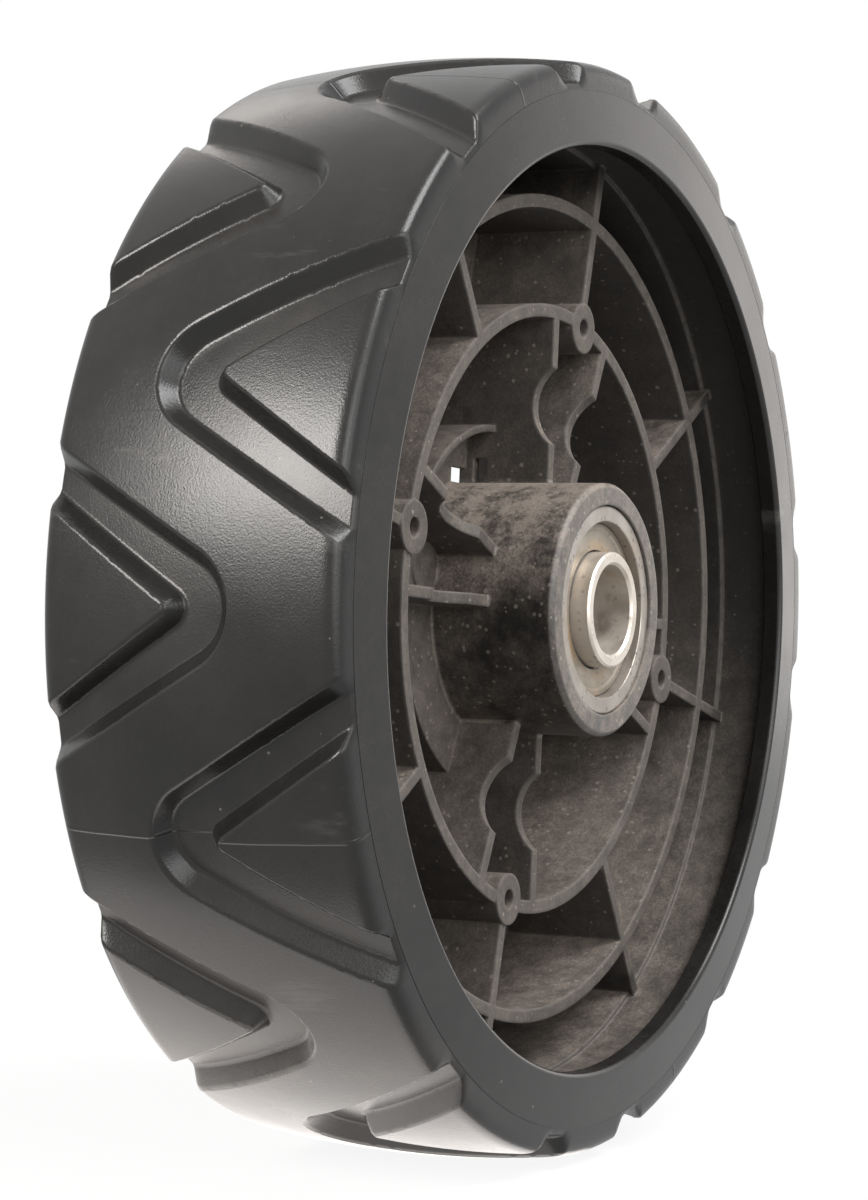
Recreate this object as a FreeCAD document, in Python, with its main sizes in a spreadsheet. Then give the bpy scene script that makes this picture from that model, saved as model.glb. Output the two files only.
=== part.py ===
"""Lawn mower wheel: rubber tyre on a ribbed plastic rim that turns on two sealed ball bearings.

Sizes are in millimetres and degrees. The wheel centre is the origin, the wheel spins about Y and
Z points up. The inboard side, the one that shows the ribs, faces -Y. Angles around the wheel run
from +X towards +Z. An inset is a distance inwards from the plane of the tread edge on one side.
"""
import os

import FreeCAD
import Part

SIZES = {
    # Tyre
    "wheel_diameter": 184.5,
    "tread_width": 51.7,
    "tread_crown": 1.95,
    "tyre_thickness": 8.3,
    "groove_depth": 3.4,
    "crease_drop": 4.3,
    "shoulder_inset": 0.35,
    "shoulder_run": 1.2,
    "shoulder_drop": 1.0,
    "sidewall_bulge": 1.1,
    "lip_height": 5.3,
    "lip_inset": 2.65,
    "tyre_fit": 0.06,
    # Tread pattern: grooves in the shape of a V, each round a raised triangular block
    "groove_count": 8,
    "groove_phase": 23.0,
    "inboard_groove_length": 33.2,
    "inboard_groove_flare": 30.7,
    "inboard_groove_nose": 8.6,
    "inboard_block_length": 24.6,
    "inboard_block_flare": 33.0,
    "outboard_groove_length": 32.6,
    "outboard_groove_flare": 30.0,
    "outboard_groove_nose": 8.6,
    "outboard_block_length": 24.7,
    "outboard_block_flare": 33.0,
    "block_tip": 0.8,
    # Rim
    "barrel_wall": 2.7,
    "barrel_step": 0.7,
    "barrel_step_inset": 11.8,
    "web_inset": 33.0,
    "web_thickness": 2.6,
    "rib_inset": 10.7,
    "rib_thickness": 1.9,
    "rib_count": 8,
    "outer_ring_diameter": 138.8,
    "inner_ring_diameter": 102.4,
    "ring_wall": 2.2,
    "boss_count": 4,
    "boss_phase": 75.5,
    "boss_inset": 1.6,
    "boss_diameter": 8.6,
    "boss_hole": 3.3,
    "boss_hole_depth": 16.0,
    "boss_proud": 0.4,
    "plate_angle": 11.5,
    "scallop_circle": 68.4,
    "scallop_radius": 8.0,
    "scallop_depth": 3.3,
    # Hub
    "hub_wall": 3.65,
    "seat_shoulder": 3.0,
    "hub_proud": 0.85,
    "hub_chamfer": 0.7,
    "flange_inset": 21.1,
    "flange_width": 9.85,
    "flange_wall": 1.2,
    "pocket_floor_inset": 26.5,
    "pocket_floor": 1.0,
    "window_width": 5.0,
    "window_height": 2.4,
    "slot_inset": 22.5,
    "slot_width": 2.3,
    "slot_height": 4.2,
    "pad_offset": 4.05,
    "pad_diameter": 8.4,
    "pad_height": 0.5,
    # Bearings and the tube that keeps them apart
    "bearing_diameter": 35.0,
    "bearing_bore": 15.0,
    "bearing_width": 11.0,
    "bearing_inset": 0.4,
    "bearing_fit": 0.01,
    "sleeve_wall": 2.15,
    "sleeve_proud": 1.5,
    "ball_diameter": 6.0,
    "ball_count": 8,
    "ball_phase": 22.5,
    "race_gap": 0.05,
    "inner_race_depth": 0.7,
    "outer_race_depth": 1.05,
    "outer_shield_inset": 1.7,
    "inner_shield_inset": 1.0,
    "shield_thickness": 0.4,
    "shield_gap": 0.3,
    "shield_seat": 0.5,
    "cage_wall": 2.0,
    "cage_back": 3.8,
    "cage_front": 1.2,
    "cage_gap": 0.2,
    "spacer_wall": 2.0,
    "spacer_fit": 0.02,
}

doc = FreeCAD.newDocument("mower_wheel")
sheet = doc.addObject("Spreadsheet::Sheet", "Sizes")
for row, (alias, size) in enumerate(SIZES.items(), start=1):
    sheet.set(f"A{row}", alias)
    sheet.set(f"B{row}", str(size))
    sheet.setAlias(f"B{row}", alias)
doc.recompute()

# Names for the lengths that many features share, written as expressions on the sheet
HALF = "(Sizes.tread_width / 2)"
CROWN = "(Sizes.wheel_diameter / 2)"
TREAD = f"({CROWN} - Sizes.tread_crown)"
CREASE = f"({TREAD} - Sizes.crease_drop)"
BARREL = f"({TREAD} - Sizes.tyre_thickness)"
BARREL_BORE = f"({BARREL} - Sizes.barrel_wall)"
LIP = f"({BARREL} - Sizes.lip_height)"
SEAT = "(Sizes.bearing_diameter / 2)"
HUB = f"({SEAT} + Sizes.hub_wall)"
FLANGE = f"({HUB} + Sizes.flange_width)"
FLANGE_BORE = f"({FLANGE} - Sizes.flange_wall)"
INNER_RING = "(Sizes.inner_ring_diameter / 2)"
OUTER_RING = "(Sizes.outer_ring_diameter / 2)"
WEB = f"(Sizes.web_inset - {HALF})"
HUB_END = f"({HALF} + Sizes.hub_proud)"
BEARING_Y = f"({HUB_END} - Sizes.bearing_inset - Sizes.bearing_width / 2)"
BORE = "(Sizes.bearing_bore / 2)"
SLEEVE = f"({BORE} + Sizes.sleeve_wall)"
RACE = "(Sizes.ball_diameter / 2 + Sizes.race_gap)"
BALL_CIRCLE = f"({SLEEVE} - Sizes.inner_race_depth + {RACE})"
OUTER_LAND = f"({BALL_CIRCLE} + {RACE} - Sizes.outer_race_depth)"

INBOARD = -1
OUTBOARD = 1
AXIAL = FreeCAD.Rotation(FreeCAD.Vector(1, 0, 0), -90)
ABOUT_Y = FreeCAD.Rotation(FreeCAD.Vector(0, 1, 0), 90)
AROUND = FreeCAD.Rotation(FreeCAD.Vector(0, -1, 0), 90)


def bind(obj, **expressions):
    """Set the properties of an object from expressions on the sheet."""
    for prop, text in expressions.items():
        obj.setExpression(prop.replace("__", "."), str(text))
    return obj


def cylinder(name, radius, start, length, x="0 mm", z="0 mm"):
    """A solid cylinder along Y that starts at the given Y."""
    obj = doc.addObject("Part::Cylinder", name)
    obj.Placement = FreeCAD.Placement(FreeCAD.Vector(), AXIAL)
    return bind(obj, Radius=radius, Height=length, Placement__Base__x=x, Placement__Base__y=start,
                Placement__Base__z=z)


def cone(name, start_radius, end_radius, start, length):
    """A solid cone along Y on the wheel axis."""
    obj = doc.addObject("Part::Cone", name)
    obj.Placement = FreeCAD.Placement(FreeCAD.Vector(), AXIAL)
    return bind(obj, Radius1=start_radius, Radius2=end_radius, Height=length, Placement__Base__y=start)


def torus(name, circle_radius, tube_radius, y):
    """A ring of round section about the wheel axis."""
    obj = doc.addObject("Part::Torus", name)
    obj.Placement = FreeCAD.Placement(FreeCAD.Vector(), AXIAL)
    return bind(obj, Radius1=circle_radius, Radius2=tube_radius, Placement__Base__y=y)


def radial_box(name, angle, near, far, start, length, thickness, side="0"):
    """A box that lies along the radius at an angle, from one radius to another.

    The side value moves it sideways, towards larger angles.
    """
    obj = doc.addObject("Part::Box", name)
    obj.Placement = FreeCAD.Placement(FreeCAD.Vector(), AROUND)
    shift = f"({side} - ({thickness}) / 2)"
    bind(obj, Length=f"({far}) - ({near})", Width=length, Height=thickness,
         Placement__Base__x=f"({near}) * cos({angle}) - {shift} * sin({angle})",
         Placement__Base__y=start,
         Placement__Base__z=f"({near}) * sin({angle}) + {shift} * cos({angle})")
    return bind(obj, Placement__Rotation__Angle=angle)


def fuse(name, shapes):
    """One solid from several."""
    obj = doc.addObject("Part::MultiFuse", name)
    obj.Shapes = shapes
    obj.Refine = True
    return obj


def cut(name, base, tool):
    """The base with the tool taken away."""
    obj = doc.addObject("Part::Cut", name)
    obj.Base = base
    obj.Tool = tool
    obj.Refine = True
    return obj


def tube(name, outer, inner, start, length):
    """A plain tube along Y on the wheel axis."""
    solid = cylinder(name + "_solid", outer, start, length)
    bore = cylinder(name + "_bore", inner, f"{start} - 1", f"{length} + 2")
    return cut(name, solid, bore)


def sector(name, outer, inner, start, length, first, span):
    """A piece of a tube along Y, from a first angle over a span of angles."""
    solid = cylinder(name + "_solid", outer, start, length)
    bind(solid, Angle=span)
    bore = cylinder(name + "_bore", inner, f"{start} - 1", f"{length} + 2")
    obj = cut(name, solid, bore)
    obj.Placement = FreeCAD.Placement(FreeCAD.Vector(), AROUND)
    return bind(obj, Placement__Rotation__Angle=f"{first} + {span}")


def at(radius, angle):
    """The X and Z of a point at a radius and an angle, as expressions."""
    return f"({radius}) * cos({angle})", f"({radius}) * sin({angle})"


def tread_wedge(name, angle, side, start, end, wide, narrow):
    """A triangular block of the tread pattern: wide at the tread edge, narrow at its tip."""
    obj = doc.addObject("Part::Wedge", name)
    obj.Placement = FreeCAD.Placement(FreeCAD.Vector(), ABOUT_Y)
    low = f"{CREASE} - 6"
    high = f"{CROWN} + 4"
    edge, tip = (wide, narrow) if side == INBOARD else (narrow, wide)
    first, last = (start, end) if side == INBOARD else (end, start)
    bind(obj, Xmin=f"-({edge})", Xmax=edge, X2min=f"-({tip})", X2max=tip, Ymin=first, Ymax=last,
         Zmin=low, Zmax=high, Z2min=low, Z2max=high)
    return bind(obj, Placement__Rotation__Angle=f"90 - ({angle})")


def tread_grooves(label, side, phase):
    """All the V grooves that open at one side of the tread, each round its raised block."""
    length = f"Sizes.{label}_groove_length"
    flare = f"Sizes.{label}_groove_flare"
    nose = f"Sizes.{label}_groove_nose"
    edge = f"({side} * ({HALF} + 2))"
    centre = f"({side} * ({HALF} - {length} + {nose}))"
    tangent = f"({side} * ({HALF} - {length} + {nose} - {nose} * sin({flare})))"
    narrow = f"{nose} * cos({flare})"
    run = f"({length} - {nose} + {nose} * sin({flare}) + 2)"
    block_tip = f"({side} * ({HALF} - Sizes.{label}_block_length))"
    block_run = f"(Sizes.{label}_block_length + 2) * tan(Sizes.{label}_block_flare)"
    outlines = []
    blocks = []
    for k in range(int(SIZES["groove_count"])):
        angle = f"({phase} + {k} * 360 / Sizes.groove_count)"
        outlines.append(tread_wedge(f"{label}_groove_{k}", angle, side, edge, tangent,
                                    f"{narrow} + {run} * tan({flare})", narrow))
        x, z = at(f"{CREASE} - 6", angle)
        round_nose = cylinder(f"{label}_nose_{k}", nose, centre, f"{CROWN} - {CREASE} + 10", x, z)
        round_nose.Placement = FreeCAD.Placement(FreeCAD.Vector(), ABOUT_Y)
        bind(round_nose, Placement__Rotation__Angle=f"90 - ({angle})")
        outlines.append(round_nose)
        blocks.append(tread_wedge(f"{label}_block_{k}", angle, side, edge, block_tip,
                                  f"Sizes.block_tip + {block_run}", "Sizes.block_tip"))
    return cut(f"{label}_grooves", fuse(f"{label}_outlines", outlines), fuse(f"{label}_blocks", blocks))


def crown_radius(y):
    """The radius of the crowned tread at a distance from its middle: a parabola, as an expression."""
    return f"({TREAD} + Sizes.tread_crown * (1 - ({y}) * ({y}) / ({HALF} * {HALF})))"


def crowned(name, reach, drop):
    """A crowned band about the wheel axis, lower than the tread by a drop: a cylinder and four cones."""
    top = f"({HALF} * 0.2)"
    bend = f"({HALF} * 0.6)"
    high = f"{CROWN} - {drop}"
    middle = f"{crown_radius(bend)} - {drop}"
    low = f"{crown_radius(reach)} - {drop}"
    return [
        cylinder(f"{name}_middle", high, f"-{top}", f"2 * {top}"),
        cone(f"{name}_rise_in", middle, high, f"-{bend}", f"{bend} - {top}"),
        cone(f"{name}_rise_out", high, middle, top, f"{bend} - {top}"),
        cone(f"{name}_edge_in", low, middle, f"-({reach})", f"({reach}) - {bend}"),
        cone(f"{name}_edge_out", middle, low, bend, f"({reach}) - {bend}"),
    ]


def build_tyre():
    """The tyre: a channel of rubber that grips the rim barrel between its two lips."""
    inset = "Sizes.shoulder_inset"
    run = "Sizes.shoulder_run"
    lug = f"{TREAD} - Sizes.shoulder_drop"
    bulge = "Sizes.sidewall_bulge"
    flat = f"{HALF} - {inset} - {run}"
    edge = crown_radius(flat)
    solids = crowned("tread", flat, "0") + [
        cylinder("tyre_base", CREASE, f"-{HALF}", "Sizes.tread_width"),
        cone("shoulder_in", lug, edge, f"-{HALF} + {inset}", run),
        cone("shoulder_out", edge, lug, flat, run),
        cone("lug_side_in", CREASE, lug, f"-{HALF}", inset),
        cone("lug_side_out", lug, CREASE, f"{HALF} - {inset}", inset),
        cone("sidewall_in", LIP, CREASE, f"-{HALF} - {bulge}", bulge),
        cone("sidewall_out", CREASE, LIP, HALF, bulge),
    ]
    envelope = fuse("tyre_envelope", solids)
    mouth = cylinder("tyre_mouth", LIP, f"-{HALF} - 5", "Sizes.tread_width + 10")
    lip = f"({HALF} - Sizes.lip_inset + Sizes.tyre_fit)"
    channel = cylinder("tyre_channel", f"{BARREL} + Sizes.tyre_fit", f"-{lip}", f"2 * {lip}")
    hollow = cut("tyre_hollow", envelope, fuse("tyre_inside", [mouth, channel]))
    grooves = fuse("grooves", [
        tread_grooves("inboard", INBOARD, "Sizes.groove_phase"),
        tread_grooves("outboard", OUTBOARD, "(Sizes.groove_phase + 180 / Sizes.groove_count)"),
    ])
    depth = "Sizes.groove_depth"
    ends = cylinder("floor_ends", f"{TREAD} - {depth}", f"-{HALF} - 5", "Sizes.tread_width + 10")
    floor = fuse("groove_floor", crowned("floor", HALF, depth) + [ends])
    return cut("tyre", hollow, cut("grooves_above_floor", grooves, floor))


def build_rim():
    """The rim: barrel, web, two ring walls, ribs, screw bosses and the hub, moulded in one piece."""
    front = f"(Sizes.rib_inset - {HALF})"
    deep = f"({WEB} - {front} + 0.5)"
    barrel_end = f"({HALF} - Sizes.lip_inset)"
    step_y = f"(Sizes.barrel_step_inset - {HALF})"
    thick = "Sizes.rib_thickness"
    wall = "Sizes.ring_wall"
    flange_y = f"(Sizes.flange_inset - {HALF})"
    floor_y = f"(Sizes.pocket_floor_inset - {HALF})"
    recess_y = f"({floor_y} + Sizes.pocket_floor)"
    chamfer = "Sizes.hub_chamfer"
    hub_edge = f"({HUB_END} - {chamfer})"

    # One sector of the flange is open: it starts at a plate and ends at the next pair of plates
    first = "(Sizes.boss_phase + Sizes.plate_angle)"
    span = "(360 / Sizes.boss_count - 2 * Sizes.plate_angle)"
    disc = tube("flange_full", f"{FLANGE} - 0.5", f"{HUB} - 0.5", flange_y, "Sizes.flange_wall")
    pocket = sector("pocket", FLANGE_BORE, HUB, f"{flange_y} - 1", "Sizes.flange_wall + 2", first, span)
    flange = cut("flange", disc, pocket)
    floor_disc = sector("pocket_floor_full", f"{FLANGE_BORE} + 0.5", f"{HUB} - 0.5", floor_y,
                        "Sizes.pocket_floor", first, span)
    window = radial_box("window", first, f"{HUB} - 0.2", f"{HUB} + Sizes.window_height", f"{floor_y} - 1",
                        "Sizes.pocket_floor + 2", "Sizes.window_width",
                        f"({thick} + Sizes.window_width) / 2")
    floor = cut("pocket_floor", floor_disc, window)
    solids = [
        tube("barrel", BARREL, BARREL_BORE, f"-{barrel_end}", f"2 * {barrel_end}"),
        tube("barrel_liner", f"{BARREL} - 0.5", f"{BARREL_BORE} - Sizes.barrel_step", step_y,
             f"{WEB} - {step_y} + 1"),
        tube("web", f"{BARREL} - 0.5", FLANGE_BORE, WEB, "Sizes.web_thickness"),
        tube("outer_ring", OUTER_RING, f"{OUTER_RING} - {wall}", front, deep),
        tube("inner_ring", INNER_RING, f"{INNER_RING} - {wall}", front, deep),
        tube("flange_tube", FLANGE, FLANGE_BORE, flange_y, f"{WEB} - {flange_y} + 0.5"),
        cylinder("hub", HUB, f"-{hub_edge}", f"2 * {hub_edge}"),
        cone("hub_end_in", f"{HUB} - {chamfer}", HUB, f"-{HUB_END}", chamfer),
        cone("hub_end_out", HUB, f"{HUB} - {chamfer}", hub_edge, chamfer),
        flange,
        floor,
    ]
    for k in range(int(SIZES["rib_count"])):
        angle = f"(Sizes.boss_phase + {k} * 360 / Sizes.rib_count)"
        solids.append(radial_box(f"rib_{k}", angle, f"{INNER_RING} - {wall} / 2", f"{BARREL} - 1", front,
                                 deep, thick))

    plates = []
    openings = []
    for k in range(int(SIZES["boss_count"])):
        boss = f"(Sizes.boss_phase + {k} * 360 / Sizes.boss_count)"
        for name, sign in ((f"plate_{k}_after", "+"), (f"plate_{k}_before", "-")):
            plates.append(radial_box(name, f"({boss} {sign} Sizes.plate_angle)", f"{HUB} - 1",
                                     f"{INNER_RING} - {wall} / 2", front, deep, thick))
        x, z = at(f"{INNER_RING} - Sizes.boss_inset", boss)
        boss_y = f"({front} - Sizes.boss_proud)"
        solids.append(cylinder(f"boss_{k}", "Sizes.boss_diameter / 2", boss_y,
                               f"{deep} + Sizes.boss_proud", x, z))
        openings.append(cylinder(f"boss_hole_{k}", "Sizes.boss_hole / 2", f"{boss_y} - 1",
                                 "Sizes.boss_hole_depth + 1", x, z))
        x, z = at(f"{HUB} + Sizes.pad_offset", boss)
        solids.append(cylinder(f"pad_{k}", "Sizes.pad_diameter / 2", f"{flange_y} - Sizes.pad_height",
                               "Sizes.pad_height + 0.5", x, z))
    scallop = torus("scallop", "Sizes.scallop_circle / 2", "Sizes.scallop_radius",
                    f"{front} + Sizes.scallop_depth - Sizes.scallop_radius")
    solids.append(cut("plates", fuse("plates_full", plates), scallop))

    seat = "(Sizes.bearing_inset + Sizes.bearing_width)"
    seat_radius = f"{SEAT} + Sizes.bearing_fit"
    openings += [
        cylinder("hub_core", f"{SEAT} - Sizes.seat_shoulder", f"-{HUB_END} - 1", f"2 * {HUB_END} + 2"),
        cylinder("seat_in", seat_radius, f"-{HUB_END} - 1", f"{seat} + 1"),
        cylinder("seat_out", seat_radius, f"{HUB_END} - {seat}", f"{seat} + 1"),
        tube("recess", FLANGE_BORE, HUB, recess_y, HALF),
        radial_box("slot", first, f"{HUB} + 0.1", f"{HUB} + Sizes.slot_height", f"Sizes.slot_inset - {HALF}",
                   "Sizes.slot_width", f"{thick} + 2"),
    ]
    return cut("rim", fuse("rim_body", solids), fuse("rim_openings", openings))


def build_bearing(label, side):
    """One sealed ball bearing whose inner ring runs on as a short sleeve past the hub end.

    Returns its pieces by node name.
    """
    centre = f"({side} * {BEARING_Y})"
    half = "(Sizes.bearing_width / 2)"
    race = torus(f"{label}_race", BALL_CIRCLE, RACE, centre)
    seat = f"({OUTER_LAND} + Sizes.shield_seat)"
    front_inset, back_inset = "Sizes.outer_shield_inset", "Sizes.inner_shield_inset"
    if side == OUTBOARD:
        front_inset, back_inset = back_inset, front_inset
    shield_start = {
        "front": f"{centre} - {half} + {front_inset}",
        "back": f"{centre} + {half} - {back_inset} - Sizes.shield_thickness",
    }
    grooves = [race]
    pieces = {}
    for face, start in shield_start.items():
        grooves.append(cylinder(f"{label}_{face}_seat", seat, start, "Sizes.shield_thickness"))
        pieces[f"{label}_{face}_shield"] = tube(
            f"{label}_{face}_plate", f"{seat} - Sizes.bearing_fit",
            f"{SLEEVE} + Sizes.shield_gap", f"{start} + Sizes.bearing_fit",
            "Sizes.shield_thickness - 2 * Sizes.bearing_fit")

    outer = tube(f"{label}_outer_blank", SEAT, OUTER_LAND, f"{centre} - {half}", "Sizes.bearing_width")
    pieces[f"{label}_outer_ring"] = cut(f"{label}_outer", outer, fuse(f"{label}_outer_grooves", grooves))

    proud = "Sizes.sleeve_proud"
    inner_start = f"{centre} - {half}" if side == OUTBOARD else f"{centre} - {half} - {proud}"
    inner = tube(f"{label}_inner_blank", SLEEVE, BORE, inner_start, f"Sizes.bearing_width + {proud}")
    pieces[f"{label}_inner_ring"] = cut(f"{label}_inner", inner, race)

    back, front = "Sizes.cage_back", "Sizes.cage_front"
    if side == INBOARD:
        back, front = front, back
    ring = tube(f"{label}_cage_blank", f"{BALL_CIRCLE} + Sizes.cage_wall / 2",
                f"{BALL_CIRCLE} - Sizes.cage_wall / 2", f"{centre} - {back}", f"{back} + {front}")
    pockets = []
    for k in range(int(SIZES["ball_count"])):
        x, z = at(BALL_CIRCLE, f"(Sizes.ball_phase + {k} * 360 / Sizes.ball_count)")
        ball = doc.addObject("Part::Sphere", f"{label}_sphere_{k + 1}")
        bind(ball, Radius="Sizes.ball_diameter / 2", Placement__Base__x=x, Placement__Base__y=centre,
             Placement__Base__z=z)
        pocket = doc.addObject("Part::Sphere", f"{label}_pocket_{k + 1}")
        bind(pocket, Radius="Sizes.ball_diameter / 2 + Sizes.cage_gap", Placement__Base__x=x,
             Placement__Base__y=centre, Placement__Base__z=z)
        pockets.append(pocket)
        pieces[f"{label}_ball_{k + 1}"] = ball
    pieces[f"{label}_cage"] = cut(f"{label}_cage_ring", ring, fuse(f"{label}_pockets", pockets))
    return pieces


def build_spacer():
    """The tube between the two inner rings."""
    end = f"({BEARING_Y} - Sizes.bearing_width / 2 - Sizes.spacer_fit)"
    return tube("spacer_tube", f"{BORE} + Sizes.spacer_wall", BORE, f"-{end}", f"2 * {end}")


nodes = {"tyre": build_tyre(), "rim": build_rim(), "spacer": build_spacer()}
nodes.update(build_bearing("inboard", INBOARD))
nodes.update(build_bearing("outboard", OUTBOARD))
doc.recompute()

for obj in doc.Objects:
    if "Invalid" in obj.State or "Error" in obj.State:
        raise RuntimeError(f"{obj.Name} did not recompute: {obj.State}")

os.makedirs("parts", exist_ok=True)
for name, obj in nodes.items():
    obj.Label = name
    shape = obj.Shape
    if shape.isNull() or not shape.isValid():
        raise RuntimeError(f"{name} has no valid shape")
    shape.exportStep(f"parts/{name}.step")
    print(name, "solids", len(shape.Solids), "volume", round(shape.Volume, 1))
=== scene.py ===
"""Looks of the lawn mower wheel: moulded rubber tyre, dusty ribbed rim and steel bearings.

Sizes are in millimetres and degrees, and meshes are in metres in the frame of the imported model. The
wheel spins about Y, its ribbed inboard face looks along -Y and Z is up. Angles round the wheel run
from +X towards +Z.
"""

import logging
import math
from collections.abc import Callable
from dataclasses import dataclass
from enum import Enum

import bpy
import numpy as np
from mathutils import Matrix, Vector


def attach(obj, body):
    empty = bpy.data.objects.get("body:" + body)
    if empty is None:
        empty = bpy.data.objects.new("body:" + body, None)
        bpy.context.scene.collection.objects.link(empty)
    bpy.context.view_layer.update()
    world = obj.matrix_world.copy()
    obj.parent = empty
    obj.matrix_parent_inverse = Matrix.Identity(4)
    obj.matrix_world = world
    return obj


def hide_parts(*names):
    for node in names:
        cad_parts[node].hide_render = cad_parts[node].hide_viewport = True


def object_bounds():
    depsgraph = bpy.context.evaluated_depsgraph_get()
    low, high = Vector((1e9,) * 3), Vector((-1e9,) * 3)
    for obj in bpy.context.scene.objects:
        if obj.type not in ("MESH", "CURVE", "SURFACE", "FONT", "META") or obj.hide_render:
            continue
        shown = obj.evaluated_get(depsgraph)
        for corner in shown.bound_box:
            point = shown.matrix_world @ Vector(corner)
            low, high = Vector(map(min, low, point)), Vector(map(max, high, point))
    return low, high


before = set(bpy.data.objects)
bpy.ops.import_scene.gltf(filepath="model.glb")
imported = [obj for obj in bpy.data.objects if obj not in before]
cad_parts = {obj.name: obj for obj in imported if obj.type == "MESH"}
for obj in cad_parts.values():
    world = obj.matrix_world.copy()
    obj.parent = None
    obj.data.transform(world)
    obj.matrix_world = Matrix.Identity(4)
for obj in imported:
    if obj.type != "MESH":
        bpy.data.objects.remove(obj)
CAD_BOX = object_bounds()

MM = 0.001
LOG = logging.getLogger("mower_wheel")

Socket = bpy.types.NodeSocket
Colour = tuple[float, float, float]
Field = Callable[[np.ndarray, np.ndarray], np.ndarray]


class Side(Enum):
    """The two faces of the wheel, by the direction of each along Y."""

    INBOARD = -1
    OUTBOARD = 1

    @property
    def label(self) -> str:
        """The word that starts the node names of this side."""
        return self.name.lower()


class Body(Enum):
    """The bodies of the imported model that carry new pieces."""

    WHEEL = "wheel"
    SLEEVE = "axle_sleeve"


class Effect(Enum):
    """The shader node groups that several finishes share."""

    GRAIN = "moulded_grain"
    DUST = "settled_dust"
    # Pale edges: partly worn, partly painted edge highlight.
    EDGE_WEAR_AND_HIGHLIGHT = "edge_wear_and_highlight"
    SPECKS = "dust_specks"
    SCUFFS = "rubbed_scuffs"


# Meshes


def ring_triangles(rows: int, columns: int, level: np.ndarray | None = None) -> np.ndarray:
    """Triangles of a grid whose columns close into a ring, facing away from the axis where rows run to +Y.

    Every cell is cut along one diagonal. Where a level is given, it is the diagonal whose two ends
    differ less, so that edges follow the lines of equal level.

    Args:
        rows: Number of grid rows.
        columns: Number of grid columns round the ring.
        level: Optional value of every grid point, rows by columns.

    Returns:
        An array of triangles, three point numbers each.
    """
    row, column = np.meshgrid(np.arange(rows - 1), np.arange(columns), indexing="ij")
    after = (column + 1) % columns
    near, near_after = row * columns + column, row * columns + after
    far, far_after = near + columns, near_after + columns
    along = np.stack([near, far, far_after, near, far_after, near_after], -1)
    across = np.stack([near, far, near_after, far, far_after, near_after], -1)
    if level is None:
        chosen = along
    else:
        flat = level.ravel()
        use_along = np.abs(flat[near] - flat[far_after]) <= np.abs(flat[far] - flat[near_after])
        chosen = np.where(use_along[..., None], along, across)
    return chosen.reshape(-1, 3)


def add_mesh(name: str, points: np.ndarray, triangles: np.ndarray, normals: np.ndarray) -> bpy.types.Object:
    """Makes a smooth mesh object at the origin from arrays.

    Args:
        name: Name of the object and its mesh.
        points: Points in millimetres, one row each.
        triangles: Point numbers, three per row.
        normals: One unit normal per point.

    Returns:
        The new object, linked to the scene.
    """
    mesh = bpy.data.meshes.new(name)
    mesh.vertices.add(len(points))
    mesh.vertices.foreach_set("co", (points * MM).astype(np.float32).ravel())
    mesh.loops.add(triangles.size)
    mesh.loops.foreach_set("vertex_index", triangles.astype(np.int32).ravel())
    mesh.polygons.add(len(triangles))
    mesh.polygons.foreach_set("loop_start", np.arange(0, triangles.size, 3, dtype=np.int32))
    mesh.polygons.foreach_set("use_smooth", np.ones(len(triangles), dtype=bool))
    mesh.update(calc_edges=True)
    mesh.validate()
    mesh.normals_split_custom_set_from_vertices(normals.astype(np.float32))
    return add_object(name, mesh)


def add_object(name: str, data: bpy.types.ID) -> bpy.types.Object:
    """Puts a mesh, lamp or camera into the scene as an object at the origin."""
    made = bpy.data.objects.new(name, data)
    bpy.context.scene.collection.objects.link(made)
    return made


def add_point_value(made: bpy.types.Object, name: str, values: np.ndarray) -> None:
    """Stores one number per point on a mesh, for its material to read by name."""
    attribute = made.data.attributes.new(name, "FLOAT", "POINT")
    attribute.data.foreach_set("value", values.astype(np.float32).ravel())


@dataclass(frozen=True)
class Outline:
    """A closed section in the plane of Y and radius, with the outward normal of each point."""

    points: np.ndarray
    normals: np.ndarray

    @classmethod
    def rounded(cls, corners: list[tuple[float, float, float]], steps: int = 5) -> "Outline":
        """Rounds each corner of a closed polygon with a tangent arc.

        With u and v the directions from a corner to its neighbours and half the angle between them,
        the arc's centre lies along u + v at radius / sin(half), and its points turn evenly from one
        tangent point to the other. The normal is the line from the centre, turned round where the
        corner is hollow.

        Args:
            corners: Y, radius from the axis and corner radius of each corner, clockwise when Y runs
                right and the radius runs up.
            steps: Points along each arc.

        Returns:
            The rounded section.
        """
        table = np.array(corners, float)
        corner, bend = table[:, :2], table[:, 2:]
        to_last = unit(np.roll(corner, 1, 0) - corner)
        to_next = unit(np.roll(corner, -1, 0) - corner)
        half = np.arccos(np.clip((to_last * to_next).sum(1, keepdims=True), -1, 1)) / 2
        centre = corner + unit(to_last + to_next) * bend / np.sin(half)
        first = corner + to_last * bend / np.tan(half) - centre
        last = corner + to_next * bend / np.tan(half) - centre
        turn = (math.pi - 2 * half)[:, :, None]
        share = np.linspace(0, 1, steps)[None, :, None]
        arc = np.sin((1 - share) * turn) * first[:, None] + np.sin(share * turn) * last[:, None]
        arc /= np.sin(turn)
        hollow = np.sign(to_last[:, 0] * to_next[:, 1] - to_last[:, 1] * to_next[:, 0])
        normal = arc / bend[:, None] * hollow[:, None, None]
        return cls((centre[:, None] + arc).reshape(-1, 2), normal.reshape(-1, 2))

    def revolve(self, name: str, columns: int) -> bpy.types.Object:
        """Carries the section round the wheel axis.

        A point at Y and radius r goes to (r cos a, Y, r sin a) for evenly spaced angles a.

        Args:
            name: Name of the new object.
            columns: Number of angles round the ring.

        Returns:
            The new closed ring.
        """
        angle = np.linspace(0, 2 * math.pi, columns, endpoint=False)
        points, normals = (around(rows[:, :1] + 0 * angle, rows[:, 1:] + 0 * angle, angle)
                           for rows in (self.points, self.normals))
        triangles = ring_triangles(len(self.points) + 1, columns) % len(points)
        return add_mesh(name, points, triangles, normals)


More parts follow.
